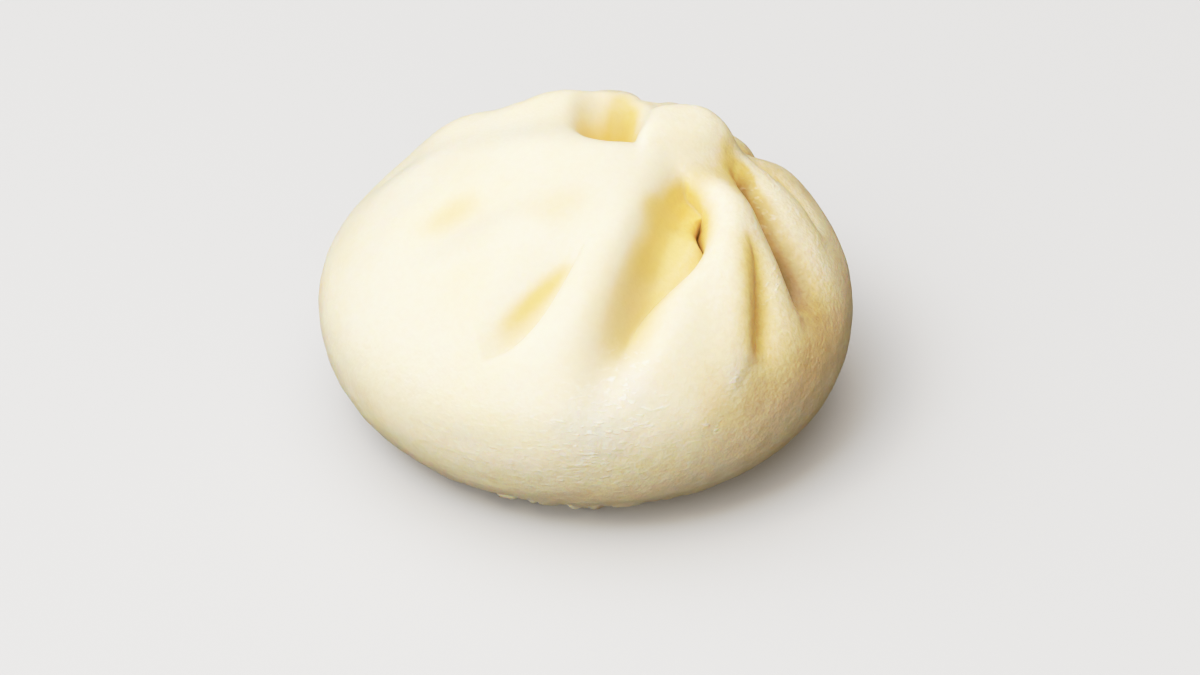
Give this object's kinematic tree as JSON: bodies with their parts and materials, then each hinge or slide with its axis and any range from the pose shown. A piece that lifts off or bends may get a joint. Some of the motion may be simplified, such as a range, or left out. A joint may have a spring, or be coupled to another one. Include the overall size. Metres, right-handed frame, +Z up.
{
  "type": "steamed bun",
  "caption": "Round steamed filled bun of pale wheat dough, pleated and twisted shut at the crown with a deep pit beside the knot, on a flat foot.",
  "frame": {"origin": "middle of the box in plan, at the flat foot that the bun rests on", "axes": "+Z up through the crown; -Y is the side with the big open pleat; +X is the side with the knot"},
  "size_m": [0.1014, 0.1004, 0.059],
  "materials": {
    "bun": "soft moist steamed dough, satin, slightly see-through, yellower in the folds"
  },
  "bodies": {
    "root": {"bun": "bun"}
  },
  "joints": []
}
